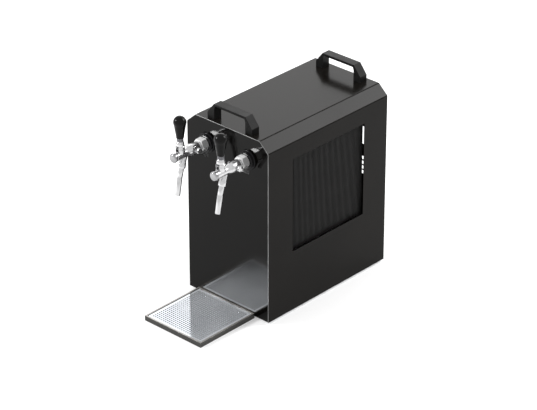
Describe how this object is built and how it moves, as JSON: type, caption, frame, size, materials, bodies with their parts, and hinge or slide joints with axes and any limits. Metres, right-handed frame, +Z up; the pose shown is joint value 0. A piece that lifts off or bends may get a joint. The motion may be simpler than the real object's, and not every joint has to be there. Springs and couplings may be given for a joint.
{
  "type": "jockey box beer cooler",
  "caption": "Table-top beer cooler: black cabinet with slanted top edges, carrying handles, lever taps at the front, a finned grille on the right side and a loose drip tray.",
  "frame": {"origin": "middle of the whole object's outline on the floor", "axes": "+X to the right as seen from the taps, towards the grille; +Y to the rear; +Z up"},
  "size_m": [0.24, 0.57, 0.4795],
  "materials": {
    "satin_black_sheet": "satin black",
    "handle_plastic": "satin black",
    "knob_plastic": "gloss black",
    "rosette_plastic": "gloss black",
    "chrome": "polished",
    "zinc_steel": "zinc plated",
    "polished_steel": "polished",
    "foot_rubber": "matte",
    "fin_aluminium": "black coated",
    "copper_pipe": "drawn copper",
    "block_aluminium": "cast",
    "foam": "matte",
    "line_plastic": "smooth",
    "black_housing": "matte",
    "fitting_plastic": "satin",
    "compressor_steel": "black enamel"
  },
  "bodies": {
    "cabinet": {"cabinet_cover": "satin_black_sheet", "front_panel": "satin_black_sheet", "rear_panel": "satin_black_sheet", "base_pan": "zinc_steel", "feet": "foot_rubber", "rear_panel_screws": "zinc_steel", "front_handle": "handle_plastic", "rear_handle": "handle_plastic", "handle_screws": "zinc_steel", "left_rosette": "rosette_plastic", "right_rosette": "rosette_plastic", "tap_shanks": "chrome", "shank_lock_nuts": "zinc_steel", "coupling_nuts": "chrome", "left_tap_body": "chrome", "right_tap_body": "chrome", "left_end_cap": "chrome", "right_end_cap": "chrome", "left_bonnet": "chrome", "right_bonnet": "chrome", "lever_pins": "zinc_steel", "left_spout_adapter": "chrome", "right_spout_adapter": "chrome", "left_spout": "chrome", "right_spout": "chrome", "condenser_fins": "fin_aluminium", "condenser_tube": "copper_pipe", "fan_shroud": "zinc_steel", "fan_motor": "black_housing", "compressor": "compressor_steel", "compressor_mounts": "foot_rubber", "cooling_block": "block_aluminium", "insulation_box": "foam", "shelf": "zinc_steel", "front_beer_lines": "line_plastic", "rear_beer_lines": "line_plastic", "discharge_pipe": "copper_pipe", "suction_pipe": "copper_pipe", "filter_dryer": "copper_pipe", "air_pump": "black_housing", "air_line": "line_plastic", "beer_inlets": "chrome", "air_outlet": "chrome", "mains_inlet": "fitting_plastic", "switch_frame": "fitting_plastic", "thermostat": "fitting_plastic"},
    "left_lever": {"left_lever": "chrome", "left_knob": "knob_plastic"},
    "right_lever": {"right_lever": "chrome", "right_knob": "knob_plastic"},
    "left_piston": {"left_piston": "zinc_steel"},
    "right_piston": {"right_piston": "zinc_steel"},
    "left_flow_lever": {"left_flow_lever": "chrome"},
    "right_flow_lever": {"right_flow_lever": "chrome"},
    "fan": {"fan_rotor": "black_housing"},
    "thermostat_dial": {"thermostat_knob": "fitting_plastic"},
    "rocker": {"switch_rocker": "fitting_plastic"},
    "tray": {"drip_tray": "polished_steel"},
    "grid": {"drip_grid": "polished_steel"}
  },
  "joints": [
    {"name": "left_lever_tilt", "type": "hinge", "parent": "cabinet", "child": "left_lever", "pos_m": [-0.06, -0.198, 0.4], "axis": [1, 0, 0], "range_deg": [-15, 30]},
    {"name": "left_piston_slide", "type": "slide", "parent": "cabinet", "child": "left_piston", "axis": [0, 1, 0], "range_m": [-0.0036, 0.0071]},
    {"name": "left_flow_turn", "type": "hinge", "parent": "cabinet", "child": "left_flow_lever", "pos_m": [-0.06, -0.157, 0.386], "axis": [1, 0, 0], "range_deg": [-90, 0]},
    {"name": "right_lever_tilt", "type": "hinge", "parent": "cabinet", "child": "right_lever", "pos_m": [0.06, -0.198, 0.4], "axis": [1, 0, 0], "range_deg": [-15, 30]},
    {"name": "right_piston_slide", "type": "slide", "parent": "cabinet", "child": "right_piston", "axis": [0, 1, 0], "range_m": [-0.0036, 0.0071]},
    {"name": "right_flow_turn", "type": "hinge", "parent": "cabinet", "child": "right_flow_lever", "pos_m": [0.06, -0.157, 0.386], "axis": [1, 0, 0], "range_deg": [-90, 0]},
    {"name": "fan_spin", "type": "hinge", "parent": "cabinet", "child": "fan", "pos_m": [0.064, 0.078, 0.265], "axis": [1, 0, 0], "continuous": true},
    {"name": "thermostat_turn", "type": "hinge", "parent": "cabinet", "child": "thermostat_dial", "pos_m": [0.015, 0.269, 0.386], "axis": [0, 1, 0], "range_deg": [0, 270]},
    {"name": "rocker_tip", "type": "hinge", "parent": "cabinet", "child": "rocker", "pos_m": [0.062, 0.265, 0.386], "axis": [1, 0, 0], "range_deg": [0, 12]},
    {"name": "tray_pull", "type": "slide", "parent": "cabinet", "child": "tray", "axis": [0, -1, 0], "range_m": [0, 0.1]},
    {"name": "grid_lift", "type": "slide", "parent": "tray", "child": "grid", "axis": [0, 0, 1], "range_m": [0, 0.03]}
  ],
  "couplings": [
    {"joint": "left_piston_slide", "follows": "left_lever_tilt", "m_per_rad": 0.0135},
    {"joint": "right_piston_slide", "follows": "right_lever_tilt", "m_per_rad": 0.0135}
  ]
}
